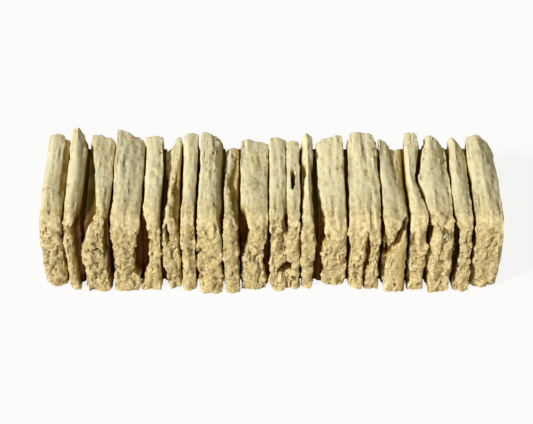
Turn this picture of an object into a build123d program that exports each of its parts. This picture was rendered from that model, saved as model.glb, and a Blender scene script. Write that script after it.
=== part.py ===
"""A garden edging stone, cast in one piece of reconstituted stone.

It looks like a row of thin split stones set on edge and bedded close together. The row runs along X, the
front faces -Y, the top faces +Z and the flat underside rests on Z = 0. All sizes are in millimetres.
"""

import os
from dataclasses import dataclass

from build123d import *

# The block as a whole
length = 560.0
height = 120.0  # of the crowns at the back of the row, before each stone's own difference
back_reach = 77.0  # from the middle of the bed to the back of the row, before each stone's own difference
heel_bevel = 6.0  # how far the back top arris is broken off
nape_drop = 9.0
end_bevel = 5.0  # the outer arrises of the first and the last stone
crown_camber = 1.6  # how far a crown stands up between its two arrises
hidden_wear = 3.5  # arris wear on the back, away from view

# The bed of concrete that joins the stones: the floor of every joint follows it
bed_top = 100.0
bed_rise = 8.0  # how much higher it lies at the back
bed_front = 54.0
bed_back = 70.0
bed_foot_spread = 4.0  # the bed is wider where it rests on the ground
bed_corner = 5.0

# Heights at which every outline turns
waist_height = 66.0
back_waist_height = 58.0
crest_setback = 15.0  # from the front of a stone to where its top starts

# The flank between a joint's floor and an arris, as two places given by their shares of the way across and
# of the way up. A whole flank bulges. Where a flake has broken off, a shelf lies between the two places.
whole_flank = ((0.17, 0.41), (0.59, 0.83))
shelf_start = 0.12  # where the shelf begins and ends, as a share of the way across
shelf_end = 0.82
whole_wear = 4.0  # an arris worn back less than this has a whole flank
flake_wear = 7.5  # an arris worn back more than this has a shelf
flank_lean = 0.3  # how far, at least, an arris lies beyond the edge of the joint's floor

# Lower blocks, grooves and a filled joint in the front
ledge_depth = 26.0
filled_width = 9.0
filled_top = 112.0
filled_front = 55.0

# A thin taller splinter at the back of a low stone, falling away to the front
splinter_width = 7.5
splinter_setback = 2.0  # from the joint on its right
splinter_side = [(-18, 96), (-14, 108), (40, 119), (69, 122), (75, 116), (75, 90)]

# A lens-shaped slot in the crown of a stone
slot_setback = 4.0  # from the middle of the bed towards the front
slot_length = 41.0
slot_width = 5.0
slot_floor = 103.0

# A dark hollow in the front, at the joint on a stone's left
hollow_floor = 60.0


straight = (0, 0, 0, 0, 0, 0)


@dataclass
class Stone:
    """One stone of the row.

    left and right say how far each arris is worn back from the middle of the joint beside it, at six
    places along the arris: the back, the crown, the crest, the brow, the waist and the foot. Outlines and
    lines on the front are given as (share of the stone's thickness from its left joint, height).
    """

    thickness: float  # from joint to joint, before the row is spread over the whole length
    joint: float  # width of the joint on the stone's right
    left: tuple
    right: tuple
    heel: tuple  # how far the back corner stands out, at the left and the right arris
    crest: float  # height of the top's front edge
    brow: float  # height at which the rough front begins
    front: tuple  # reach of the brow, the waist and the foot
    peak: tuple = (0.5, 0.0)  # share of the way across where the back stands out most, and how far
    shelves: tuple = (0.5, 0.5)  # how far up the shelves of broken flanks lie, and 0 keeps a flank whole
    bend: tuple = straight  # how far the joint on the right strays to the right, at the six places
    ledge: tuple = ()  # outline of a lower block that stands in front
    ledge_reach: float = 0.0  # of that block, from the middle of the bed
    groove: tuple = ()  # line of a crack in the front
    groove_width: float = 0.0
    groove_floor: float = 0.0  # how far in front of the middle of the bed the crack ends
    hollow: tuple = ()  # outline of a hollow at the joint on the stone's left
    slotted: bool = False
    splintered: bool = False
    filled: bool = False  # whether the joint on the stone's left is filled


row = [
    Stone(28, 1.9, (1, 1, 1, 1, 1, 3), (8.5, 8.5, 4, 3, 3, 4), (3, 3), 115, 99, (74, 75, 67),
          shelves=(0.5, 0.62)),
    Stone(22, 3.6, (1, 1, 1, 1, 1, 2), (5.5, 2, 7, 11, 11, 7), (7, 4), 116, 104, (72, 76, 74),
          (0.5, 3.7), (0.5, 0.3)),
    Stone(34, 2.9, (6, 14, 19, 11, 1, 1), (1, 1, 6, 8, 9, 4), (4, -3), 116, 105, (72, 76, 72),
          shelves=(0.25, 0.3),
          ledge=((0.03, 0), (0.88, 0), (0.88, 62), (0.5, 70), (0.06, 67)), ledge_reach=79,
          groove=((0.03, 66), (0.3, 71), (0.53, 72), (0.76, 63)), groove_width=2.6, groove_floor=72),
    Stone(38, 2.1, (2, 3, 3, 3, 4, 1), (3, 1, 1, 5, 10, 3), (8, -2), 114, 94, (75, 77, 76),
          shelves=(0.5, 0.1), bend=(0, 0, 0, 0, 0, -4)),
    Stone(24, 3.6, (1, 2, 5, 10, 10, 1), (3, 1, 1, 1.5, 2.5, 5), (1, 1), 115, 100, (73, 75, 76),
          shelves=(0.1, 0.3)),
    Stone(23, 2.1, (3, 7, 5.5, 2, 2, 8), (3, 9, 8, 4, 3, 3), (-11, -3), 110, 95, (72, 75, 72),
          shelves=(0.1, 0.45),
          groove=((0.3, 104), (0.35, 92), (0.39, 82)), groove_width=2.6, groove_floor=64, splintered=True),
    Stone(20, 3.1, (2, 3, 3, 3, 3, 1), (2, 2.5, 3, 3, 3, 3), (3, 4), 116, 97, (74, 76, 76)),
    Stone(32, 2.1, (3, 3, 2, 1, 1, 2), (13, 10, 8, 4, 3, 3), (6, 3), 116, 99, (75, 78, 80),
          shelves=(0.5, 0)),
    Stone(20, 2.1, (3, 1, 2, 1, 1, 2), (5.5, 12, 7, 3, 4, 1), (-12, -9), 112, 104, (74, 77, 79),
          shelves=(0.5, 0.45)),
    Stone(36, 2.1, (1, 1, 8, 13, 6, 2), (2, 3, 2, 2, 9, 4), (-1, -5), 113, 93, (73, 76, 74),
          shelves=(0.1, 0.2)),
    Stone(21, 1.6, (1, 1, 1, 1, 2, 3), (1, 1, 3, 8, 2, 1), (0, -2), 116, 105, (73, 74, 76)),
    Stone(18, 2.9, (1, 1, 1, 1, 1, 1), (1, 2, 2, 3, 4, 2), (-3, -3), 115, 104, (73, 73, 72),
          ledge=((-0.33, 0), (0.33, 0), (0.33, 84), (-0.33, 90)), ledge_reach=72,
          hollow=((-0.6, 30), (-0.1, 26), (0.4, 32), (0.45, 44), (0.05, 48), (-0.45, 42)),
          slotted=True, filled=True),
    Stone(18, 4.3, (4, 7, 2, 1, 1, 1), (4, 5.5, 5.5, 3, 2, 4), (1, 2), 115, 97, (72, 75, 71),
          (0.4, 2.5), (0.45, 0.1)),
    Stone(39, 3.6, (2, 4, 10, 13, 7, 10), (4, 4, 4, 3, 2, 3), (-4, 3), 112, 88, (75, 74, 67),
          shelves=(0.2, 0.5)),
    Stone(41, 2.9, (5.5, 2, 1, 1, 4, 5.5), (7, 2.5, 2, 3, 4, 4), (5, 3), 114, 93, (75, 77, 74),
          groove=((0.55, 97), (0.6, 50), (0.5, -1)), groove_width=2.4, groove_floor=69),
    Stone(32, 2.1, (2, 1, 1, 3, 8, 4), (17, 11, 4, 14, 21, 12), (0, -9), 115, 104, (80, 79, 66),
          shelves=(0.5, 0),
          ledge=((0.15, 0), (0.97, 0), (0.97, 84), (0.87, 102), (0.62, 82), (0.28, 62)), ledge_reach=79,
          groove=((0.18, 59), (0.28, 72), (0.56, 92), (0.81, 112)), groove_width=5.2, groove_floor=67),
    Stone(23, 3.6, (1, 1, 4, 1, 2, 5), (5.5, 1.5, 1, 1, 1, 2), (5, 4), 114, 92, (75, 76, 75),
          shelves=(0.5, 0.12), bend=(-1, -10, 0, 0, 0, 0)),
    Stone(32, 3.3, (6, 1, 2, 7, 4, 5.5), (4, 2, 3, 3, 1, 1), (1, -7), 113, 106, (73, 75, 74),
          (0.3, 3), (0.3, 0.5),
          ledge=((0.16, 0), (0.94, 0), (0.96, 98), (0.62, 100), (0.25, 103)), ledge_reach=80),
    Stone(24, 2.6, (2, 1, 1, 5.5, 9, 4), (5.5, 3, 3, 3, 2, 1), (-1, -8), 115, 99, (73, 75, 77),
          (0.35, 4), (0.08, 0.5)),
    Stone(35, 2.1, (1, 1, 1, 2, 4, 5.5), (3, 1, 1, 1, 1, 3), (1, -8), 114, 96, (74, 75, 69), (0.45, 6)),
]

spread = length / sum(stone.thickness for stone in row)
joints = [-length / 2]
for stone in row:
    joints.append(joints[-1] + stone.thickness * spread)


def peak_heel(stone):
    """How far the back corner of a stone stands out at its peak."""
    share, rise = stone.peak
    return stone.heel[0] * (1 - share) + stone.heel[1] * share + rise


back_most = back_reach + max(max(*stone.heel, peak_heel(stone) + crown_camber) for stone in row)
front_most = max(max(stone.front) for stone in row) + crown_camber
middle = (back_most - front_most) / 2  # of the whole block, in the bed's own Y


def section(across, outline):
    """A section round the block: an X for each point of an outline of (reach towards the back, height)."""
    return [Vector(x, y - middle, z) for x, (y, z) in zip(across, outline)]


def bed_outline():
    """The floor of the joints: front foot, waist, brow, crest, crown, heel, nape, back waist and back foot."""
    return [
        (-bed_front - bed_foot_spread, 0),
        (-bed_front, waist_height),
        (-bed_front, bed_top - bed_corner),
        (-bed_front + bed_corner, bed_top),
        (0, bed_top),
        (bed_back - bed_corner, bed_top + bed_rise),
        (bed_back, bed_top),
        (bed_back, back_waist_height),
        (bed_back + bed_foot_spread / 2, 0),
    ]


def stone_outline(stone, heel, proud=0.0):
    """The outside of a stone in the same nine points. heel moves its back corner out, and proud all of it."""
    brow_reach, waist_reach, foot_reach = (reach + proud for reach in stone.front)
    back = back_reach + heel + proud
    top = height + heel + proud
    return [
        (-foot_reach, 0),
        (-waist_reach, waist_height),
        (-brow_reach, stone.brow),
        (-brow_reach + crest_setback, stone.crest + proud),
        (0, (stone.crest + top) / 2 + proud),
        (back - heel_bevel, top),
        (back, top - nape_drop),
        (back - 2 * proud, back_waist_height),
        (back - 2 * proud, 0),
    ]


def along(values, hidden):
    """Spreads the six values of an arris or a joint over the nine points of an outline."""
    back, crown, crest, brow, waist, foot = values
    return [foot, waist, brow, crest, crown, back, back, hidden, hidden]


def joint_line(number):
    """The X of a joint at the nine points. The first and the last are the two ends of the block."""
    between_stones = 0 < number < len(row)
    bend = row[number - 1].bend if between_stones else straight
    return [joints[number] + stray for stray in along(bend, 0)]


def flank(floor, arris, worn, shelf):
    """The two sections between a joint's floor and an arris, from the floor up."""
    broken_flank = ((shelf_start, shelf), (shelf_end, shelf))
    sections = []
    for whole, broken in zip(whole_flank, broken_flank):
        points = []
        for low, high, wear in zip(floor, arris, worn):
            share = min(max((wear - whole_wear) / (flake_wear - whole_wear), 0), 1) if shelf else 0
            across, up = (a * (1 - share) + b * share for a, b in zip(whole, broken))
            way = high - low
            points.append(low + Vector(way.X * across, way.Y * up, way.Z * up))
        sections.append(points)
    return sections


def stone_sections(number):
    """The sections of one stone: left joint, left flank, arris, ridge, arris, right flank and right joint."""
    stone = row[number]
    start_line = joint_line(number)
    end_line = joint_line(number + 1)
    left_worn = along(stone.left, hidden_wear)
    right_worn = along(stone.right, hidden_wear)
    left = [start + worn for start, worn in zip(start_line, left_worn)]
    right = [end - worn for end, worn in zip(end_line, right_worn)]
    share = stone.peak[0]
    ridge = [a * (1 - share) + b * share for a, b in zip(left, right)]
    sections = [
        section(left, stone_outline(stone, stone.heel[0])),
        section(ridge, stone_outline(stone, peak_heel(stone), crown_camber)),
        section(right, stone_outline(stone, stone.heel[1])),
    ]
    if stone is row[0]:
        sections.insert(0, section(start_line, stone_outline(stone, stone.heel[0], -end_bevel)))
    else:
        half_joint = row[number - 1].joint / 2
        floor_edge = [start + min(half_joint, worn - flank_lean) for start, worn in zip(start_line, left_worn)]
        floor = section(floor_edge, bed_outline())
        sections = [floor] + flank(floor, sections[0], left_worn, stone.shelves[0]) + sections
    if stone is row[-1]:
        sections.append(section(end_line, stone_outline(stone, stone.heel[1], -end_bevel)))
    else:
        half_joint = stone.joint / 2
        floor_edge = [end - min(half_joint, worn - flank_lean) for end, worn in zip(end_line, right_worn)]
        floor = section(floor_edge, bed_outline())
        sections += flank(floor, sections[-1], right_worn, stone.shelves[1])[::-1] + [floor]
    return sections


def facet(*corners):
    return Face(Wire.make_polygon(corners))


def facets_between(near, far):
    """Two triangles for each side of a pair of neighbouring sections."""
    facets = []
    for a, b, c, d in zip(near, near[1:] + near[:1], far[1:] + far[:1], far):
        facets += [facet(a, b, c), facet(a, c, d)]
    return facets


def row_of_stones():
    sections = []
    for number in range(len(row)):
        sections += stone_sections(number)
    skin = [facet(*sections[0]), facet(*sections[-1])]
    for near, far in zip(sections, sections[1:]):
        skin += facets_between(near, far)
    return Solid(Shell(skin))


def front_plane(reach):
    """A sketching plane that faces the front, so far before the middle of the bed."""
    return Plane.XZ.offset(reach + middle)


def on_front(stone, points):
    """Points given by their share of a stone's thickness, as points on a front plane."""
    start = joints[row.index(stone)]
    return [(start + share * stone.thickness * spread, z) for share, z in points]


with BuildPart() as edging_stone:
    add(row_of_stones())

    for stone, start, end in zip(row, joints, joints[1:]):
        if stone.ledge:
            with BuildSketch(front_plane(stone.ledge_reach)):
                with BuildLine():
                    Polyline(*on_front(stone, stone.ledge), close=True)
                make_face()
            extrude(amount=-ledge_depth)

        if stone.filled:
            with BuildSketch(Plane.XY.offset(filled_top)):
                with Locations((start, (bed_back - bed_corner - filled_front) / 2 - middle)):
                    Rectangle(filled_width, bed_back - bed_corner + filled_front)
            extrude(amount=bed_top - filled_top)

        if stone.splintered:
            with BuildSketch(Plane.YZ.offset(end - splinter_width - splinter_setback)):
                with BuildLine():
                    Polyline(*[(y - middle, z) for y, z in splinter_side], close=True)
                make_face()
            extrude(amount=splinter_width)

        if stone.slotted:
            with BuildSketch(Plane.XY.offset(slot_floor)):
                with Locations(((start + end) / 2, -slot_setback - middle)):
                    Ellipse(slot_width / 2, slot_length / 2)
            extrude(amount=height - slot_floor + slot_width, mode=Mode.SUBTRACT)

        if stone.groove:
            with BuildSketch(front_plane(stone.groove_floor)):
                with BuildLine():
                    Polyline(*on_front(stone, stone.groove))
                trace(line_width=stone.groove_width)
            extrude(amount=front_most, mode=Mode.SUBTRACT)

        if stone.hollow:
            with BuildSketch(front_plane(hollow_floor)):
                with BuildLine():
                    Polyline(*on_front(stone, stone.hollow), close=True)
                make_face()
            extrude(amount=front_most, mode=Mode.SUBTRACT)

edging_stone.part.label = "edging_stone"
os.makedirs("parts", exist_ok=True)
export_step(edging_stone.part, "parts/edging_stone.step")
print("size", edging_stone.part.bounding_box().size, "volume", edging_stone.part.volume)
print("valid", edging_stone.part.is_valid, "solids", len(edging_stone.solids()))
print("faces", len(edging_stone.faces()))
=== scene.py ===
# %% [markdown]
# # A garden edging stone
#
# The real object is one block of reconstituted stone: crushed stone and cement, cast in a mould that was
# taken from a row of thin split stones set on edge. It could be sculpted by hand, or built as twenty
# separate rocks. Here it is one closed surface, because it is one casting: a grid worked out with numpy,
# whose columns run round the block and whose rows cross them from end to end.

from math import radians
from types import SimpleNamespace

import bmesh
import bpy
import numpy as np
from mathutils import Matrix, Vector


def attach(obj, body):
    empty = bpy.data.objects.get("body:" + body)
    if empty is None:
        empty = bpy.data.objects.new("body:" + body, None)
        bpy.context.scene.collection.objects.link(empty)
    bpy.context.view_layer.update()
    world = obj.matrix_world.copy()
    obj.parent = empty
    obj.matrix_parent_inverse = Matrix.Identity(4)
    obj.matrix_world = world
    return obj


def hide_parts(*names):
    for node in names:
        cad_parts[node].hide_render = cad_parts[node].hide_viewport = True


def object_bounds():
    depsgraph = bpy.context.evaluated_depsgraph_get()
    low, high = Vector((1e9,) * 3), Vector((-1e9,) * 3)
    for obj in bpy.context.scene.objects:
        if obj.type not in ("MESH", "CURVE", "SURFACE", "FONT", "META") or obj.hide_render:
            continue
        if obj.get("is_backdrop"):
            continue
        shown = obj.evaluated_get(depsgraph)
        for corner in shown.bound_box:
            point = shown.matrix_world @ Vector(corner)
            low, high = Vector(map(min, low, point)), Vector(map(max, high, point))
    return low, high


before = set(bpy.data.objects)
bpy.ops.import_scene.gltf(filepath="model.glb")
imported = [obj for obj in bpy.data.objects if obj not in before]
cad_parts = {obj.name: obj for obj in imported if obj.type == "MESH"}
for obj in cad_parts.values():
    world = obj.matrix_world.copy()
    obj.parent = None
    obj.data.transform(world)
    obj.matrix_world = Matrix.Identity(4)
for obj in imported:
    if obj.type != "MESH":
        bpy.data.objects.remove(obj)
cad_low, cad_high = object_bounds()
print("CAD box, mm:", [round(1000 * side) for side in cad_high - cad_low])

# %% [markdown]
# ## The row of stones
#
# Each stone is a slab of sandstone, split along its bedding and stood on its edge. Two uneven arrises
# bound what is seen of it. They could be drawn as curves in the viewport, but a short table is easier to
# correct: every arris is given by how far it is worn back from the middle of the joint beside it, at the
# back, the crown, the crest, the brow, the waist and the foot. All sizes here are in millimetres.


# %% One line for each stone
def stone(thickness, joint, left, right, heel, crest, brow, front, peak=(0.5, 0), shelves=(0.5, 0.5),
          bend=(0, 0, 0, 0, 0, 0), tone=0.0, weathered=0.15, rugged=0.35):
    """One slab: its thickness, the width of the joint on its right, the wear of both arrises, how far
    its back corner stands out at both arrises, the heights of its crest and brow, the reach of its front
    at the brow, the waist and the foot, where across its back a peak stands and how high, how high the
    shelf of a broken flank lies, left and right, between the joint's floor and the crown (1; 0 means a
    whole flank), how far the joint on its right strays to the right at the same six places, how
    much lighter or darker it is than the rest, how rough its top is and how pitted its front."""
    return SimpleNamespace(**locals())


row = [
    stone(28, 1.9, (1, 1, 1, 1, 1, 3), (8.5, 8.5, 4, 3, 3, 4), (3, 3), 115, 99, (74, 75, 67),
          shelves=(0.5, 0.62), rugged=0.9),
    stone(22, 3.6, (1, 1, 1, 1, 1, 2), (5.5, 2, 7, 11, 11, 7), (7, 4), 116, 104, (72, 76, 74), (0.5, 3.7),
          (0.5, 0.3)),
    stone(34, 2.9, (6, 14, 19, 11, 1, 1), (1, 1, 6, 8, 9, 4), (4, -3), 116, 105, (72, 76, 72),
          shelves=(0.25, 0.3), rugged=0.7),
    stone(38, 2.1, (2, 3, 3, 3, 4, 1), (3, 1, 1, 5, 10, 3), (8, -2), 114, 94, (75, 77, 76),
          shelves=(0.5, 0.1), bend=(0, 0, 0, 0, 0, -4), tone=-0.3),
    stone(24, 3.6, (1, 2, 5, 10, 10, 1), (3, 1, 1, 1.5, 2.5, 5), (1, 1), 115, 100, (73, 75, 76),
          shelves=(0.1, 0.3), tone=0.4),
    stone(23, 2.1, (3, 7, 5.5, 2, 2, 8), (3, 9, 8, 4, 3, 3), (-11, -3), 110, 95, (72, 75, 72),
          shelves=(0.1, 0.45), weathered=0.6, rugged=0.9),
    stone(20, 3.1, (2, 3, 3, 3, 3, 1), (2, 2.5, 3, 3, 3, 3), (3, 4), 116, 97, (74, 76, 76), rugged=0.7),
    stone(32, 2.1, (3, 3, 2, 1, 1, 2), (13, 10, 8, 4, 3, 3), (6, 3), 116, 99, (75, 78, 80),
          shelves=(0.5, 0), tone=0.3),
    stone(20, 2.1, (3, 1, 2, 1, 1, 2), (5.5, 12, 7, 3, 4, 1), (-12, -9), 112, 104, (74, 77, 79),
          shelves=(0.5, 0.45), tone=-0.5, weathered=0.7),
    stone(36, 2.1, (1, 1, 8, 13, 6, 2), (2, 3, 2, 2, 9, 4), (-1, -5), 113, 93, (73, 76, 74),
          shelves=(0.1, 0.2), weathered=0.4),
    stone(21, 1.6, (1, 1, 1, 1, 2, 3), (1, 1, 3, 8, 2, 1), (0, -2), 116, 105, (73, 74, 76), tone=0.3,
          rugged=0.7),
    stone(18, 2.9, (1, 1, 1, 1, 1, 1), (1, 2, 2, 3, 4, 2), (-3, -3), 115, 104, (73, 73, 72), tone=0.2,
          rugged=0.8),
    stone(18, 4.3, (4, 7, 2, 1, 1, 1), (4, 5.5, 5.5, 3, 2, 4), (1, 2), 115, 97, (72, 75, 71), (0.4, 2.5),
          (0.45, 0.1)),
    stone(39, 3.6, (2, 4, 10, 13, 7, 10), (4, 4, 4, 3, 2, 3), (-4, 3), 112, 88, (75, 74, 67),
          shelves=(0.2, 0.5), tone=0.2, weathered=0.3),
    stone(41, 2.9, (5.5, 2, 1, 1, 4, 5.5), (7, 2.5, 2, 3, 4, 4), (5, 3), 114, 93, (75, 77, 74),
          tone=0.3, weathered=0.45),
    stone(32, 2.1, (2, 1, 1, 3, 8, 4), (17, 11, 4, 14, 21, 12), (0, -9), 115, 104, (80, 79, 66),
          shelves=(0.5, 0)),
    stone(23, 3.6, (1, 1, 4, 1, 2, 5), (5.5, 1.5, 1, 1, 1, 2), (5, 4), 114, 92, (75, 76, 75),
          shelves=(0.5, 0.12), bend=(-1, -10, 0, 0, 0, 0), tone=0.3),
    stone(32, 3.3, (6, 4, 2, 7, 4, 5.5), (4, 2, 3, 3, 1, 1), (1, -7), 113, 106, (73, 75, 74), (0.3, 3),
          (0.3, 0.5), rugged=0.6),
    stone(24, 2.6, (2, 1, 1, 5.5, 9, 4), (5.5, 3, 3, 3, 2, 1), (-1, -8), 115, 99, (73, 75, 77), (0.35, 4),
          (0.08, 0.5), tone=-0.2, rugged=0.6),
    stone(35, 2.1, (1, 1, 1, 2, 4, 5.5), (3, 1, 1, 1, 1, 3), (1, -8), 114, 96, (74, 75, 69), (0.45, 6),
          weathered=0.35),
]
length = sum(slab.thickness for slab in row)
joints = np.cumsum([-length / 2] + [slab.thickness for slab in row])
print(len(row), "stones,", length, "mm long")

# %% [markdown]
# ## Natural irregularity
#
# Split stone is uneven at every scale, from the lean of a whole face to single grains. A texture image
# would fix one pattern at one size. Gradient noise gives the same unevenness as a formula of the place
# in space, so that the relief, the wander of the arrises and the tone all come from it.


# %% Gradient noise at any place in space
def scramble(x, y, z, seed):
    """A fixed pseudo-random number for each corner of a lattice: the coordinates are multiplied by large
    odd numbers, added and mixed by shifts."""
    mixed = x * 374761393 + y * 668265263 + z * 2147483629 + seed * 974634777
    mixed = (mixed ^ (mixed >> 13)) * 1274126177
    return mixed ^ (mixed >> 16)


def noise(places, seed=0):
    """Perlin's noise: at each corner of the lattice cell the dot product of a random direction and the
    way from that corner, blended by the quintic fade. It runs from about -1 to 1."""
    cell = np.floor(places).astype(np.int64)
    inside = places - cell
    fade = inside**3 * (inside * (inside * 6 - 15) + 10)
    total = np.zeros(places.shape[:-1])
    for corner in np.ndindex(2, 2, 2):
        seeds = scramble(*np.moveaxis(cell + corner, -1, 0), seed)
        turn = (seeds & 1023) * (2 * np.pi / 1024)
        rise = ((seeds >> 10) & 1023) / 511.5 - 1
        flat = np.sqrt(np.maximum(0, 1 - rise**2))
        way = inside - corner
        dot = way[..., 0] * flat * np.cos(turn) + way[..., 1] * flat * np.sin(turn) + way[..., 2] * rise
        total += dot * np.prod(np.where(corner, fade, 1 - fade), axis=-1)
    return 1.6 * total


def layered(places, octaves=3, seed=0):
    """Noise added to itself at twice the fineness and half the height, octave by octave."""
    return sum(noise(places * 2**n, seed + 31 * n) / 2**n for n in range(octaves))


def chipped(places, seed=0):
    """Flat facets, as where chips have flown off. Every lattice cell holds one random centre. A place
    belongs to the nearest centre, and its height is the way from there along that centre's own slope."""
    cell = np.floor(places).astype(np.int64)
    nearest = np.full(places.shape[:-1], 9.0)
    height = np.zeros(places.shape[:-1])
    for corner in np.ndindex(3, 3, 3):
        near_cell = cell + np.array(corner) - 1
        seeds = scramble(*np.moveaxis(near_cell, -1, 0), seed)
        centre = near_cell + np.stack([((seeds >> shift) & 255) / 255 for shift in (0, 8, 16)], -1)
        slope = np.stack([((seeds >> shift) & 255) / 127.5 - 1 for shift in (5, 13, 21)], -1)
        way = places - centre
        far = np.linalg.norm(way, axis=-1)
        height = np.where(far < nearest, np.sum(way * slope, -1) + 0.3 * slope[..., 0], height)
        nearest = np.minimum(nearest, far)
    return height


def ramp(low, high, value):
    """0 below low, 1 above high, and a smooth cubic between."""
    t = np.clip((value - low) / (high - low), 0, 1)
    return t * t * (3 - 2 * t)


three_places = np.array([[0.5, 0.2, 0.1], [1.5, 2.2, 3.1], [4.1, 0.3, 2.7]])
print("noise at three places:", np.round(noise(three_places), 2))

# %% [markdown]
# ## Rows round the block
#
# Seen from its end, every stone has the same nine corners: front foot, waist, brow, crest, crown, heel,
# nape, back waist and back foot. A polyline through them would look sawn, and a subdivided cage would
# shrink away from them. A cubic curve whose slopes are held back passes through the corners without
# swinging beyond them, so that the tops stay as flat as bedding planes are.

# %% Where the rows lie, by the way round from the front foot
# The masks further down use the same measure: 66 is the waist, 100 the brow, 120 the crest, 179 the
# crown, 250 the heel and 261 the nape.
corners = np.array([0, 66, 100, 120, 179, 250, 261, 313, 371.0])
rows = np.concatenate([
    np.arange(0, 99, 1.7),
    np.arange(99, 123, 1.6),
    np.arange(123, 250, 2.3),
    np.arange(250, 262, 2.0),
    np.arange(262, 370, 4.5),
    [371.0],
])
underside_rows = 4
print(len(rows), "rows and", underside_rows, "under the block")

back_reach = 77.0
height = 120.0
bed_top = 100.5
bed_front = 55.0
bed_back = 70.0
bed_rise = 8
bed_corner = 5
camber = 1.6
waist_height = 66
back_waist_height = 58
crest_setback = 15
heel_bevel = 6
nape_drop = 9
hidden_wear = 3.5


def peak_heel(slab):
    """How far the back corner stands out at the slab's peak."""
    return slab.heel[0] * (1 - slab.peak[0]) + slab.heel[1] * slab.peak[0] + slab.peak[1]


back_most = back_reach + max(max(*slab.heel, peak_heel(slab) + camber) for slab in row)
front_most = max(max(slab.front) for slab in row) + camber
middle = (back_most - front_most) / 2


def through(values, at=rows):
    """A cubic curve through the corner values that never swings beyond them: the slope at a corner is the
    harmonic mean of the slopes before and after it, and 0 where these two have unlike signs."""
    values = np.asarray(values, float)
    rise = np.diff(values) / np.diff(corners)
    before, after = rise[:-1], rise[1:]
    together = np.where(before + after == 0, 1, before + after)
    middle_slopes = np.where(before * after > 0, 2 * before * after / together, 0)
    slopes = np.concatenate([rise[:1], middle_slopes, rise[-1:]])
    n = np.clip(np.searchsorted(corners, at, side="right") - 1, 0, len(corners) - 2)
    span = corners[n + 1] - corners[n]
    t = (at - corners[n]) / span
    return (
        (2 * t**3 - 3 * t**2 + 1) * values[n]
        + (t**3 - 2 * t**2 + t) * span * slopes[n]
        + (3 * t**2 - 2 * t**3) * values[n + 1]
        + (t**3 - t**2) * span * slopes[n + 1]
    )


def bed_outline(rake=0.0):
    """The floor of the joints as (Y, Z) for each row, sunk by rake below the bed of the CAD block."""
    y = [-bed_front - 4, -bed_front, -bed_front, -bed_front + bed_corner, 0,
         bed_back - bed_corner, bed_back, bed_back, bed_back + 2]
    z = [0, waist_height, bed_top - bed_corner, bed_top, bed_top, bed_top + bed_rise, bed_top,
         back_waist_height, 0]
    rake = rake * ramp(250, 170, rows)
    return through(y) + rake * ramp(125, 100, rows), np.maximum(0, through(z) - rake * ramp(95, 125, rows))


def slab_outline(slab, heel, proud=0.0):
    """The outside of a slab as (Y, Z) for each row, with its back corner out by heel and all by proud."""
    brow, waist, foot = (reach + proud for reach in slab.front)
    back = back_reach + heel + proud
    top = height + heel + proud
    y = [-foot, -waist, -brow, -brow + crest_setback, 0, back - heel_bevel, back,
         back - 2 * proud, back - 2 * proud]
    z = [0, waist_height, slab.brow, slab.crest + proud, (slab.crest + top) / 2 + proud, top,
         top - nape_drop, back_waist_height, 0]
    return through(y), np.maximum(0, through(z))


print("joint floor, highest row, mm:", round(float(bed_outline()[1].max()), 1))


# %% [markdown]
# ## Columns from joint to joint
#
# Between two joints the surface climbs out of the raked joint, turns over the worn arris, crosses the
# crown and goes down again. The columns follow the arrises, so that these stay crisp on a coarse grid.
# The climb is a quarter of a superellipse, of one power for every arris, or two ramps where a flake has
# broken off.


# %% The sections of one stone
def wander(seed, small=1.0, large=1.7):
    """How far an arris strays along the rows: slow noise plus quick noise, in millimetres. The quick noise
    is for the broken front, and about a third of it is left on the top."""
    along = np.stack([rows / 18, np.full_like(rows, seed * 7.7), np.full_like(rows, 0.5)], axis=-1)
    return large * noise(along, 5) + small * ramp(170, 105, rows).clip(0.3, 1) * noise(along * [4, 1, 1], 6)


def arris(worn, seed):
    """How far an arris lies from the middle of its joint, row by row: its wear at the corners, with more
    wander where it is worn more."""
    back, crown, crest, brow, waist, foot = worn
    far = through([foot, waist, brow, crest, crown, back, back, hidden_wear, hidden_wear])
    return np.maximum(far + wander(seed) * ramp(0.5, 6, far), 0.9)


def climb(low, high, count, broken_off, shelf):
    """Sections from a joint's floor to an arris, each given as (X, Y, Z) columns. A whole flank is a
    quarter of a superellipse: 1 - cos^1.3 of an angle along X and sin^1.3 in depth. Where a flake has
    broken off, the flank climbs to a shelf, crosses it and climbs the rest: two ramps in depth, with most
    of the way along X between them. broken_off mixes the two, row by row."""
    made = []
    for t in np.linspace(0, 1, count + 2)[1:-1]:
        over = 1 - np.cos(t * np.pi / 2) ** 1.3
        up = np.sin(t * np.pi / 2) ** 1.3
        over_shelf = 0.1 * t + 0.08 * ramp(0, 0.3, t) + 0.82 * ramp(0.22, 0.8, t)
        up_shelf = shelf * ramp(0, 0.34, t) + (1 - shelf) * ramp(0.62, 1, t)
        across = over * (1 - broken_off) + over_shelf * broken_off
        risen = up * (1 - broken_off) + up_shelf * broken_off
        made.append((low + (high - low) * np.stack([across, risen, risen], -1), risen))
    return made


sections, climbed, owner, inset = [], [], [], []


def lay(section, share, number, edge=0.0):
    """Adds one section to the grid, with how far it has risen (0 in the joint, 1 on the crown), the
    number of its stone and how far it lies in from the nearer arris."""
    sections.append(section)
    climbed.append(share + 0 * rows)
    owner.append(number)
    inset.append(edge + 0 * rows)


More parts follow.
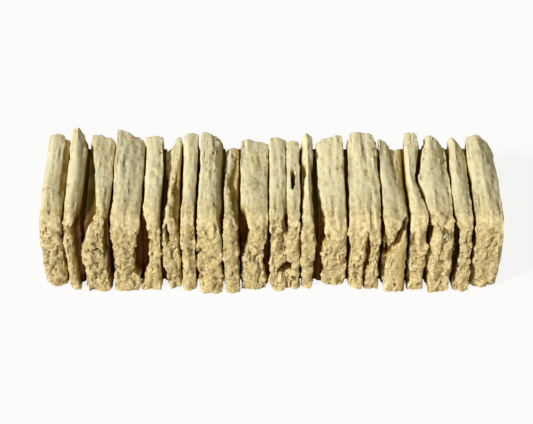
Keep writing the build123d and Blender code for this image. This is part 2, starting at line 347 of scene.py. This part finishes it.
whole_wear = 4.0
flake_wear = 7.5
joint_depth = 15.0
flank_cell = 2.7
crown_cell = 1.9
rake = 1.0
bed_y, bed_z = bed_outline(rake)
floor_y, floor_z = bed_outline(rake + 1.0)
joint_lines = [joints[0] + 0 * rows]
for number, slab in enumerate(row[:-1]):
    back, crown, crest, brow, waist, foot = slab.bend
    stray = through([foot, waist, brow, crest, crown, back, back, 0, 0])
    joint_lines.append(joints[number + 1] + stray + wander(100 + number, 0.3, 0.8))
joint_lines.append(joints[-1] + 0 * rows)
for number, slab in enumerate(row):
    first, last = number == 0, number == len(row) - 1
    start, end = joint_lines[number], joint_lines[number + 1]
    left_y, left_z = slab_outline(slab, slab.heel[0])
    right_y, right_z = slab_outline(slab, slab.heel[1])
    left = start + arris(slab.left, number)
    right = end - arris(slab.right, number + 50)
    right = np.maximum(right, left + 2.5)
    before = start + row[number - 1].joint / 2
    after = end - slab.joint / 2
    shelf = 1 + 0.5 * noise(np.stack([rows / 30, 0 * rows + 3.3 * number, 0 * rows + 0.7], -1), 9)
    steps_left = int(np.clip(round(np.hypot(joint_depth, np.max(left - start)) / flank_cell), 5, 12))
    steps_right = int(np.clip(round(np.hypot(joint_depth, np.max(end - right)) / flank_cell), 5, 12))
    steps_crown = max(4, int(round(np.percentile(right - left, 70) / crown_cell)))

    if not first:
        low = np.stack([np.minimum(before, left - 0.3), bed_y, bed_z], -1)
        high = np.stack([left, left_y, left_z], -1)
        lay(low, 0.0, number)
        broken_off = ramp(whole_wear, flake_wear, left - start) * (slab.shelves[0] > 0)
        for section, risen in climb(low, high, steps_left, broken_off, slab.shelves[0] * shelf):
            lay(section, risen, number)
    for over in np.linspace(0, 1, steps_crown + 1):
        tent = slab.peak[1] * min(over / slab.peak[0], (1 - over) / (1 - slab.peak[0]))
        heel = slab.heel[0] * (1 - over) + slab.heel[1] * over + tent
        crown_y, crown_z = slab_outline(slab, heel, camber * (1 - (2 * over - 1) ** 2))
        x = left * (1 - over) + right * over
        lay(np.stack([x, crown_y, crown_z], -1), 1.0, number, np.minimum(x - left, right - x))
    if not last:
        low = np.stack([np.maximum(after, right + 0.3), bed_y, bed_z], -1)
        high = np.stack([right, right_y, right_z], -1)
        broken_off = ramp(whole_wear, flake_wear, end - right) * (slab.shelves[1] > 0)
        for section, risen in climb(low, high, steps_right, broken_off, slab.shelves[1] * shelf)[::-1]:
            lay(section, risen, number)
        lay(low, 0.0, number)
        lay(np.stack([end, floor_y, floor_z], -1), 0.0, number)

grid = np.stack(sections, axis=1)
climbed = np.stack(climbed, axis=1)
owner = np.array(owner)
inset = np.stack(inset, axis=1)
print("grid of", grid.shape[0], "rows by", grid.shape[1], "columns")

# %% [markdown]
# ## Ends and underside
#
# The first and the last stone are split faces too, seen from the side. The columns go on over the outer
# arris and shrink, ring by ring, to one point in the middle of the end's foot, which closes the block
# without a separate cap. The underside is flat as cast: the rows simply go on under the block.


# %% Close the two ends with shrinking rings
def end_rings(edge, x_end, count=14):
    """Sections that lie in the end's plane and shrink from the outer section towards the middle of its
    foot: its Y and Z times a size that falls evenly to 0. The first ring keeps a little of the arris."""
    made = []
    for t in np.linspace(0, 1, count + 1)[1:]:
        ring = edge * (1 - t)
        ring[:, 0] = x_end + (edge[:, 0] - x_end) * np.clip(1 - t * 12, 0, 1) ** 2
        made.append(ring)
    return made


left_end = end_rings(grid[:, 0], -length / 2)[::-1]
right_end = end_rings(grid[:, -1], length / 2)
grid = np.concatenate([np.stack(left_end, 1), grid, np.stack(right_end, 1)], axis=1)
climbed = np.pad(climbed, ((0, 0), (len(left_end), len(right_end))), constant_values=1.0)
owner = np.concatenate([np.zeros(len(left_end), int), owner, np.full(len(right_end), len(row) - 1)])
inset = np.pad(inset, ((0, 0), (len(left_end), len(right_end))))
on_end = np.zeros(grid.shape[1])
on_end[: len(left_end)] = 1
on_end[-len(right_end):] = 1
print("with ends:", grid.shape[1], "columns")


# %% [markdown]
# ## Lower blocks, hollows, a slot and a crack
#
# Some slabs broke when they were split: a lower block stands in front of the upper one, a splinter
# stands up at the back, a hollow opens in a joint. Each could be cut with a Boolean. Pushing the grid
# in or out behind a soft mask keeps it one closed surface, and is quicker to correct.


# %% Masks drawn on the front and on the top
def far_from(x, z, start, end):
    """The distance to a straight side, by the place on the side that lies nearest."""
    (x0, z0), (x1, z1) = start, end
    t = np.clip(((x - x0) * (x1 - x0) + (z - z0) * (z1 - z0)) / ((x1 - x0) ** 2 + (z1 - z0) ** 2), 0, 1)
    return np.hypot(x - x0 - t * (x1 - x0), z - z0 - t * (z1 - z0))


def inside(x, z, outline, soft=1.2):
    """1 inside a closed outline and 0 outside, by the signed distance to its nearest side."""
    outline = np.asarray(outline, float)
    nearest = np.full(x.shape, 1e9)
    turns = np.zeros(x.shape, bool)
    for (x0, z0), (x1, z1) in zip(outline, np.roll(outline, -1, axis=0)):
        nearest = np.minimum(nearest, far_from(x, z, (x0, z0), (x1, z1)))
        crosses = ((z0 > z) != (z1 > z)) & (x < (x1 - x0) * (z - z0) / (z1 - z0 + 1e-9) + x0)
        turns ^= crosses
    return ramp(-soft, soft, np.where(turns, nearest, -nearest))


def beside(x, z, line, width):
    """1 on an open line and 0 further from it than its width."""
    nearest = np.full(x.shape, 1e9)
    for start, end in zip(line, line[1:]):
        nearest = np.minimum(nearest, far_from(x, z, start, end))
    return ramp(width, width * 0.3, nearest)


def at(number, points):
    """Points given from a stone's left joint, as points on the block. Stones are counted from 1."""
    return [(joints[number - 1] + x, z) for x, z in points]


X, Y, Z = np.moveaxis(grid, -1, 0)
V = rows[:, None] + 0 * X
frontness = ramp(128, 108, V)
topness = ramp(104, 120, V) * ramp(268, 258, V)
ragged = np.stack([X / 9, Y / 9, Z / 9], -1)
shaky_x = X + 1.6 * noise(ragged, 11)
shaky_z = Z + 1.6 * noise(ragged, 12)


def stand_out(outline, reach, soft=1.2):
    """Brings the front out to reach, counted from the middle of the bed, inside an outline."""
    mask = inside(shaky_x, shaky_z, outline, soft) * frontness
    grid[..., 1] += mask * np.minimum(0, -reach - grid[..., 1])
    return mask


stand_out(at(3, [(1, -9), (30, -9), (30, 62), (17, 70), (2, 67)]), 79)
smooth_block = stand_out(at(16, [(5, -9), (31, -9), (31, 84), (28, 103), (20, 82), (9, 62)]), 79)
stand_out(at(18, [(5, -9), (30, -9), (31, 97), (20, 99), (8, 104)]), 80)
filled = stand_out(at(12, [(-6, -9), (6, -9), (6, 92), (-6, 97)]), 72, 3)
Y = grid[..., 1].copy()
filled_height = 112
filled_top = ramp(7, 3, np.abs(X - joints[11])) * topness
grid[..., 2] += filled_top * np.maximum(0, filled_height - grid[..., 2])
Z = grid[..., 2].copy()
climbed = np.maximum(climbed, np.maximum(filled, 0.75 * filled_top))


def cut_front(mask, depth):
    """Sinks the front by depth where the mask is 1."""
    grid[..., 1] += mask * depth * frontness


cut_front(beside(shaky_x, shaky_z, at(3, [(1, 66), (10, 70), (18, 72), (26, 63)]), 2.6), depth=5)
crack = beside(X, Z, at(15, [(23, 98), (24.5, 74), (24, 50), (21.5, 30), (20.5, -1)]), 1.9)
pocket = inside(shaky_x, shaky_z, at(12, [(-11, 30), (-2, 26), (7, 32), (8, 44), (1, 48), (-8, 42)]), 2.0)
slit = beside(X, Z, at(6, [(7, 104), (8, 92), (9, 82)]), 2.4)
overhang = beside(shaky_x, shaky_z, at(16, [(6, 60), (9, 72), (18, 92), (26, 112)]), 4.4)
cut_front(crack, depth=8)
cut_front(pocket, depth=13)
cut_front(slit, depth=8)
cut_front(overhang, depth=12)

# The lens-shaped slot in the crown of the twelfth stone, and the splinter at the back of the sixth
slot_x = (joints[11] + joints[12]) / 2 - 1
slot_y = 1
slot_half_width = 2.8
slot_half_length = 17
slot_depth = 18
slot_way = np.hypot((X - slot_x) / slot_half_width, (Y - slot_y) / slot_half_length)
slot = ramp(1.2, 0.8, slot_way) * topness
grid[..., 2] -= slot * slot_depth
splinter = ramp(joints[6] - 11, joints[6] - 9, X) * ramp(joints[6] - 1.0, joints[6] - 3, X)
splinter_top = np.interp(Y, [-40, -14, 40, 69, 76], [104, 108, 119, 122, 121])
grid[..., 2] += splinter * topness * np.maximum(0, splinter_top - Z) * ramp(-24, -5, Y)
front_cuts = np.maximum.reduce([0.9 * crack, 0.8 * pocket, slit, 0.85 * overhang]) * frontness
opened = np.maximum(slot, front_cuts)
print("deepest cut in front, mm:", round(float((grid[..., 1] - Y).max()), 1))

# %% [markdown]
# ## The relief of split stone
#
# The tops are old bedding planes, nearly smooth, with low steps and streaks along the slab. The fronts
# are where the slabs were broken across: lumpy, pitted and cracked. Displacement from an image is the
# usual way. Here each kind of relief is a formula, and masks say where it applies.


# %% Where the surface is rough
def normals(places):
    """The outward direction at each point: the cross product of the ways along the row and the column."""
    along = np.gradient(places, axis=0)
    across = np.gradient(places, axis=1)
    out = np.cross(across, along)
    return out / np.maximum(np.linalg.norm(out, axis=-1, keepdims=True), 1e-9)


P = grid.copy()
brow_of = np.array([slab.brow for slab in row])[owner][None, :]
weathered = np.array([slab.weathered for slab in row])[owner][None, :]
pitted = 0.3 + np.array([slab.rugged for slab in row])[owner][None, :]
uneven = layered(P / 13, 2, 21)
front_rough = ramp(6, -5, P[..., 2] - brow_of - 9 + 8 * uneven) * ramp(140, 116, V)
back_rough = ramp(255, 268, V)
end_rough = on_end[None, :] + 0 * X
patches = ramp(0.55, 0.0, noise(P / [14, 30, 24], 23) + 0.95 - 1.1 * weathered) * 0.5
front_rough *= 1 - 0.6 * smooth_block
patches *= 1 - 0.5 * on_end
rough = np.maximum.reduce([front_rough, back_rough * 0.8, end_rough * 0.8, patches]).clip(0, 1)
on_crown = ramp(0.1, 0.95, climbed)
print("rough share of the grid:", round(float(rough.mean()), 2))


# %% The height of the relief, in millimetres
def beds(places, thickness, run, seed):
    """Stepped bedding: the place along X is cut into layers that waver a little, each layer takes its own
    height from noise along the slab, and a short ramp joins a layer to the next."""
    x = (places[..., 0] + 1.4 * noise(places / [26, 34, 34], seed)) / thickness
    layer = np.floor(x)
    way = (places[..., 1] - places[..., 2]) / run
    near, far = (noise(np.stack([(layer + n) * 7.31, way, 0 * way + 0.5], -1), seed + 1) for n in (0, 1))
    step = ramp(0.36, 0.64, x - layer)
    return near * (1 - step) + far * step


lean = 0.9 * noise(P / 38, 31)
lumps = 2.4 * layered(P / [14, 14, 18], 2, 32)
facets = 1.8 * chipped(P / [9, 9, 14], 33)
slivers = 0.5 * chipped(P / [3.8, 3.8, 6], 39)
clusters = ramp(-0.15, 0.35, noise(P / 19, 44))
pits = -2.6 * ramp(0.44, 0.62, noise(P / [4.2, 4.2, 9], 34) + 0.12 * noise(P / 31, 46)) * clusters
pocks = -0.5 * ramp(0.3, 0.6, noise(P / [2.8, 2.8, 3.8], 35))
cracks = -2.4 * ramp(0.87, 0.98, 1 - np.abs(noise(P / [9, 14, 34], 36))) * ramp(0.0, 0.3, noise(P / 26, 37))
grit = 0.55 * noise(P / 2.7, 38)
steps = 1.6 * beds(P, 5.8, 55, 51) + 0.7 * beds(P, 2.4, 26, 61)
streaks = 0.3 * noise(P / [2.4, 22, 10], 42)
chips = -1.4 * ramp(0.34, 0.6, noise(P / [5, 8, 8], 43)) * ramp(4.5, 0.5, inset)

fine = slivers + pitted * (pits + pocks + cracks) + grit
broken = lean + lumps + facets + 1.5 * beds(P, 6.5, 22, 71) + fine * (1 - 0.8 * back_rough)
bumps = 0.4 * noise(P / 4, 45) + 0.7 * chipped(P / [6, 14, 14], 47)
split = 0.9 * lean + steps + streaks + bumps + 0.6 * grit
relief = split * (1 - rough) + broken * rough + chips * on_crown
seen_share = 0.2 + 0.8 * on_crown
end_form = 0.9 + lean + 1.5 * noise(P / 20, 81)
relief = relief * seen_share * (1 - end_rough) + end_form * end_rough
print("relief from", round(float(relief.min()), 1), "to", round(float(relief.max()), 1), "mm")

# %% [markdown]
# ## One mesh
#
# The sections become vertices and the cells between them quads. Attributes on the vertices keep what the
# material needs to know and can't see: how deep in a joint a point lies, how rough its face is, how warm
# its colour is, how hollow or how exposed it is, and how light its stone is.

# %% Move the grid along its normals and keep it in the block's box
facing = normals(P)
facing[-1] = facing[-2]
grid = P + facing * relief[..., None]
grid[..., 2] = np.maximum(grid[..., 2], 0.0)
grid[0, :, 2] = 0.0
grid[-1, :, 2] = 0.0
grid[..., 1] -= middle
box_margin = 1.5
box_low = np.array(cad_low) * 1000 - box_margin
box_high = np.array(cad_high) * 1000 + box_margin
box_low[2] = 0.0
grid = np.clip(grid, box_low, box_high)


def smoothed(field, times):
    """Each point becomes the mean of itself and its four neighbours, as often as asked."""
    for _ in range(times):
        padded = np.pad(field, ((1, 1), (1, 1)) + ((0, 0),) * (field.ndim - 2), mode="edge")
        field = (
            padded[1:-1, 1:-1] + padded[:-2, 1:-1] + padded[2:, 1:-1] + padded[1:-1, :-2] + padded[1:-1, 2:]
        ) / 5
    return field


even = normals(smoothed(grid, 2))
standing = np.sum((grid - smoothed(grid, 6)) * even, axis=-1)
lying = np.sum((grid - smoothed(grid, 24)) * even, axis=-1)
# hollow says where the material paints shade: in small pits and in wide recesses such as the joints.
hollow = np.maximum(0.8 * ramp(0.15, -1.3, standing), ramp(0.2, -3.2, lying))
exposed = ramp(0.25, 1.6, standing)
seen_well = (1 - end_rough) * (1 - 0.6 * back_rough)
hollow *= seen_well
exposed *= seen_well
print("hollow share:", round(float(hollow.mean()), 2), " exposed share:", round(float(exposed.mean()), 2))

# %% Put the grid into a mesh
under = np.linspace(0, 1, underside_rows + 2)[1:-1, None, None]
underside = grid[-1][None] * (1 - under) + grid[0][None] * under
closed = np.concatenate([grid, underside], axis=0)
n_rows, n_columns = closed.shape[:2]
vertices = closed.reshape(-1, 3) / 1000
index = np.arange(n_rows * n_columns).reshape(n_rows, n_columns)
beyond = np.roll(index, -1, axis=0)
quads = np.stack([index[:, :-1], index[:, 1:], beyond[:, 1:], beyond[:, :-1]], axis=-1).reshape(-1, 4)

skin_mesh = bpy.data.meshes.new("edging_stone_skin")
skin_mesh.from_pydata(vertices.tolist(), [], quads.tolist())
skin_mesh.update()
skin = bpy.data.objects.new("edging_stone_skin", skin_mesh)
bpy.context.collection.objects.link(skin)


def paint(name, field):
    """Stores one number for each vertex, where the material reads it by name."""
    under_field = np.repeat(field[-1][None], underside_rows, axis=0)
    values = np.concatenate([field, under_field], axis=0).reshape(-1)
    skin_mesh.attributes.new(name, "FLOAT", "POINT").data.foreach_set("value", values.astype(np.float32))


tone = np.array([slab.tone for slab in row])[owner][None, :] + 0 * X
warm = np.clip(np.maximum(rough, 0.75 * ramp(168, 112, V + 14 * uneven)), 0, 1)
paint("rough", rough)
paint("warm", warm)
# deep leads the painted joint shade and stain; towards the fronts the power lets it reach closer to the
# arris, and the cuts and the slot count as deep, so they are painted dark too.
paint("deep", np.maximum((1 - climbed) ** (1 - 0.25 * frontness), opened))
paint("hollow", hollow)
paint("exposed", exposed)
paint("tone", tone)
print(len(vertices), "vertices,", 2 * len(quads), "triangles")

# %% Close the poles and turn the faces outwards
work = bmesh.new()
work.from_mesh(skin_mesh)
bmesh.ops.remove_doubles(work, verts=work.verts, dist=1e-6)
bmesh.ops.dissolve_degenerate(work, edges=work.edges, dist=1e-7)
bmesh.ops.recalc_face_normals(work, faces=work.faces)
open_edges = sum(1 for edge in work.edges if not edge.is_manifold)
for face in work.faces:
    face.smooth = True
work.to_mesh(skin_mesh)
skin_mesh.set_sharp_from_angle(angle=radians(38))
volume = work.calc_volume()
work.free()
print("open edges:", open_edges, " volume, litres:", round(volume * 1000, 2))

# %% [markdown]
# ## Cast stone
#
# Reconstituted stone is matt and buff. The smooth tops are paler and a little greyer, and the broken fronts
# are warmer. Hollows are darkened with a brown painted shade, the lower flanks of the joints are painted
# ochre as shade lit by warm bounced light, and deep in the joints a dark stain, partly painted shade, is
# olive between the tops and brown between the fronts. Colours are written in linear light. The grain is a
# group of its own, so that it could serve other castings too.


# %% Helpers for node trees
def new_group(name, inputs, outputs):
    """A shader node group with named sockets. inputs and outputs are (name, type, default)."""
    group = bpy.data.node_groups.new(name, "ShaderNodeTree")
    for label, kind, default in inputs:
        socket = group.interface.new_socket(label, in_out="INPUT", socket_type="NodeSocket" + kind)
        socket.default_value = default
    for label, kind in outputs:
        group.interface.new_socket(label, in_out="OUTPUT", socket_type="NodeSocket" + kind)
    enter = group.nodes.new("NodeGroupInput")
    leave = group.nodes.new("NodeGroupOutput")
    return group, enter, leave


def add_node(tree, kind, **settings):
    """A node with its settings. A setting named like a socket sets that socket's value."""
    node = tree.nodes.new("ShaderNode" + kind)
    for name, value in settings.items():
        if hasattr(node, name):
            setattr(node, name, value)
        else:
            node.inputs[name.replace("_", " ")].default_value = value
    return node


def mix_colour(tree, factor, first, second, blend="MIX"):
    """Mixes two colours. Each of the three may be a socket or a plain value."""
    node = add_node(tree, "Mix", data_type="RGBA", blend_type=blend)
    for socket, value in ((node.inputs[0], factor), (node.inputs[6], first), (node.inputs[7], second)):
        if isinstance(value, bpy.types.NodeSocket):
            tree.links.new(value, socket)
        else:
            socket.default_value = value
    return node.outputs[2]


def maths(tree, operation, first, second=0.0, clamp=False):
    """One sum. Each of the two terms may be a socket or a plain number."""
    node = add_node(tree, "Math", operation=operation, use_clamp=clamp)
    for socket, value in zip(node.inputs, (first, second)):
        if isinstance(value, bpy.types.NodeSocket):
            tree.links.new(value, socket)
        else:
            socket.default_value = value
    return node.outputs[0]


def map_range(tree, value, low, high, top=1.0, **settings):
    """Maps a value so that low becomes 0 and high becomes top, and holds it between the two."""
    node = add_node(tree, "MapRange", **settings)
    for label, number in (("From Min", low), ("From Max", high), ("To Max", top)):
        node.inputs[label].default_value = number
    tree.links.new(value, node.inputs["Value"])
    return node.outputs["Result"]


# %% The grain of a casting
grain, enter, leave = new_group(
    "Casting grain",
    [("Position", "Vector", (0, 0, 0)), ("Rough", "Float", 0.0), ("Grain size mm", "Float", 1.0)],
    [("Height", "Float"), ("Speckle", "Float")],
)
links = grain.links
inverse = maths(grain, "DIVIDE", 1000.0, enter.outputs["Grain size mm"])
sand = add_node(grain, "TexNoise", Detail=3.0, Roughness=0.6)
links.new(enter.outputs["Position"], sand.inputs["Vector"])
links.new(inverse, sand.inputs["Scale"])
coarse = add_node(grain, "TexNoise", Detail=4.0, Roughness=0.65)
links.new(enter.outputs["Position"], coarse.inputs["Vector"])
links.new(maths(grain, "MULTIPLY", inverse, 0.28), coarse.inputs["Scale"])
pores = add_node(grain, "TexVoronoi", feature="F1")
links.new(enter.outputs["Position"], pores.inputs["Vector"])
links.new(maths(grain, "MULTIPLY", inverse, 0.35), pores.inputs["Scale"])
pore = map_range(grain, pores.outputs["Distance"], 0.05, 0.32, interpolation_type="SMOOTHSTEP")
smooth_height = maths(grain, "MULTIPLY", sand.outputs["Fac"], 0.35)
rough_height = maths(grain, "ADD", maths(grain, "MULTIPLY", coarse.outputs["Fac"], 1.6),
                     maths(grain, "MULTIPLY", pore, 0.5))
rough_share = maths(grain, "MULTIPLY", rough_height, enter.outputs["Rough"])
links.new(maths(grain, "ADD", smooth_height, rough_share), leave.inputs["Height"])
links.new(coarse.outputs["Fac"], leave.inputs["Speckle"])

# %% The bedding streaks on a split face
streak, enter, leave = new_group(
    "Bedding streaks",
    [("Position", "Vector", (0, 0, 0)), ("Width mm", "Float", 2.0), ("Length mm", "Float", 40.0)],
    [("Streak", "Float")],
)
links = streak.links
parts = add_node(streak, "SeparateXYZ")
links.new(enter.outputs["Position"], parts.inputs[0])
joined = add_node(streak, "CombineXYZ")
narrow = maths(streak, "DIVIDE", 1000.0, enter.outputs["Width mm"])
long = maths(streak, "DIVIDE", 1000.0, enter.outputs["Length mm"])
links.new(maths(streak, "MULTIPLY", parts.outputs[0], narrow), joined.inputs[0])
links.new(maths(streak, "MULTIPLY", parts.outputs[1], long), joined.inputs[1])
links.new(maths(streak, "MULTIPLY", parts.outputs[2], long), joined.inputs[2])
bands = add_node(streak, "TexNoise", Scale=1.0, Detail=3.0, Roughness=0.55, Distortion=0.3)
links.new(joined.outputs[0], bands.inputs["Vector"])
links.new(bands.outputs["Fac"], leave.inputs["Streak"])

# %% The stone's own material
cast_stone = bpy.data.materials.new("cast_stone")
cast_stone.use_nodes = True
tree = cast_stone.node_tree
shader = tree.nodes["Principled BSDF"]
position = add_node(tree, "TexCoord").outputs["Object"]


def read(name):
    """The value of a vertex attribute."""
    return add_node(tree, "Attribute", attribute_name=name).outputs["Fac"]


top_pale = (0.88, 0.81, 0.54, 1)
top_dull = (0.76, 0.69, 0.42, 1)
front_warm = (0.88, 0.74, 0.41, 1)
front_dull = (0.51, 0.38, 0.14, 1)
# The dark brown of the painted shade in hollows.
dust = (0.15, 0.075, 0.012, 1)
# A dark joint stain and painted shade: olive between the tops, brown between the fronts.
olive_stain = (0.13, 0.092, 0.010, 1)
brown_stain = (0.14, 0.050, 0.005, 1)
# The ochre of painted shade lit by warm bounced light, on the lower flanks of the joints.
sheltered = (0.52, 0.35, 0.07, 1)
edge_light = (0.88, 0.80, 0.58, 1)

grain_node = add_node(tree, "Group", node_tree=grain)
grain_node.inputs["Grain size mm"].default_value = 1.1
tree.links.new(position, grain_node.inputs["Position"])
tree.links.new(read("rough"), grain_node.inputs["Rough"])
streak_node = add_node(tree, "Group", node_tree=streak)
streak_node.inputs["Width mm"].default_value = 2.6
streak_node.inputs["Length mm"].default_value = 45.0
tree.links.new(position, streak_node.inputs["Position"])

speckle = map_range(tree, grain_node.outputs["Speckle"], 0.35, 0.65)
band = map_range(tree, streak_node.outputs["Streak"], 0.38, 0.62)
mottled = maths(tree, "ADD", maths(tree, "MULTIPLY", band, 0.6), maths(tree, "MULTIPLY", speckle, 0.4))
top_colour = mix_colour(tree, mottled, top_dull, top_pale)
front_colour = mix_colour(tree, speckle, front_dull, front_warm)
colour = mix_colour(tree, read("warm"), top_colour, front_colour)
lighter = maths(tree, "MULTIPLY", read("tone"), 0.12)
tinted = add_node(tree, "HueSaturation")
tree.links.new(colour, tinted.inputs["Color"])
tree.links.new(maths(tree, "ADD", lighter, 1.0), tinted.inputs["Value"])
# Painted shade: hollows are darkened towards a dark brown.
colour = mix_colour(tree, maths(tree, "MULTIPLY", read("hollow"), 0.9), tinted.outputs[0], dust)
# Painted shade: the lower flanks of the joints turn ochre, as shaded faces lit by warm light bounced
# between the stones.
colour = mix_colour(tree, map_range(tree, read("deep"), 0.1, 0.5, 0.8), colour, sheltered)
# Deep in the joints a dark stain that is partly painted shade of the flanks, olive at the tops and brown at
# the fronts.
joint_stain = mix_colour(tree, read("warm"), olive_stain, brown_stain)
colour = mix_colour(tree, map_range(tree, read("deep"), 0.45, 0.76, 0.95), colour, joint_stain)
colour = mix_colour(tree, maths(tree, "MULTIPLY", read("exposed"), 0.25), colour, edge_light)
tree.links.new(colour, shader.inputs["Base Color"])
shader.inputs["Roughness"].default_value = 0.92
shader.inputs["Specular IOR Level"].default_value = 0.15

bump = add_node(tree, "Bump", Strength=1.0, Distance=0.0012)
tree.links.new(grain_node.outputs["Height"], bump.inputs["Height"])
tree.links.new(bump.outputs["Normal"], shader.inputs["Normal"])

skin_mesh.materials.append(cast_stone)
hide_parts("edging_stone")
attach(skin, "root")
print("material nodes:", len(tree.nodes))

# %% [markdown]
# ## Floor, light and camera
#
# The photograph shows the block from the front and above on plain white, lit from the left. A sun lamp a
# few degrees wide gives the soft shadows between the stones, and an even sky fills them. The floor is
# nearly white to the camera, but still takes a little of the block's shadow.

# %% A white floor
floor_mesh = bpy.data.meshes.new("floor")
floor_mesh.from_pydata([(-6, -6, 0), (6, -6, 0), (6, 6, 0), (-6, 6, 0)], [], [(0, 1, 2, 3)])
floor = bpy.data.objects.new("floor", floor_mesh)
bpy.context.collection.objects.link(floor)
floor_paint = bpy.data.materials.new("floor_paint")
floor_paint.use_nodes = True
paint_tree = floor_paint.node_tree
paint_shader = paint_tree.nodes["Principled BSDF"]
paint_shader.inputs["Base Color"].default_value = (0.82, 0.82, 0.82, 1)
paint_shader.inputs["Roughness"].default_value = 0.9
glow = add_node(paint_tree, "Emission", Strength=1.0)
blend_in = add_node(paint_tree, "MixShader")
seen = add_node(paint_tree, "LightPath").outputs["Is Camera Ray"]
paint_tree.links.new(maths(paint_tree, "MULTIPLY", seen, 0.88), blend_in.inputs[0])
paint_tree.links.new(paint_shader.outputs[0], blend_in.inputs[1])
paint_tree.links.new(glow.outputs[0], blend_in.inputs[2])
paint_tree.links.new(blend_in.outputs[0], paint_tree.nodes["Material Output"].inputs["Surface"])
floor_mesh.materials.append(floor_paint)
floor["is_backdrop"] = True

# %% Sky and lamp
world = bpy.data.worlds.new("sky")
bpy.context.scene.world = world
world.use_nodes = True
sky = world.node_tree.nodes["Background"]
sky.inputs["Color"].default_value = (1.0, 0.92, 0.74, 1)
sky.inputs["Strength"].default_value = 0.24
lamp = bpy.data.lights.new("key", "SUN")
lamp.energy = 3.5
lamp.angle = radians(6)
lamp.color = (1.0, 0.985, 0.95)
key = bpy.data.objects.new("key", lamp)
bpy.context.collection.objects.link(key)
towards = Vector((-0.70, -0.46, 0.55))
key.rotation_euler = towards.to_track_quat("Z", "Y").to_euler()

# %% Camera
camera_data = bpy.data.cameras.new("camera")
camera = bpy.data.objects.new("camera", camera_data)
bpy.context.collection.objects.link(camera)
image_width = 533
focal_px = 1535
sensor_mm = 36
look_down = 44.2
camera_data.sensor_width = sensor_mm
camera_data.lens = sensor_mm * focal_px / image_width
camera.location = (-0.0062, -1.3847, 1.4049)
camera.rotation_euler = (radians(90 - look_down), 0, 0)
bpy.context.scene.camera = camera
bpy.context.scene.view_settings.view_transform = "Standard"

# %% Sizes against the CAD block
low_now, high_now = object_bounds()
print("visual box, mm:", [round(1000 * side, 1) for side in high_now - low_now])
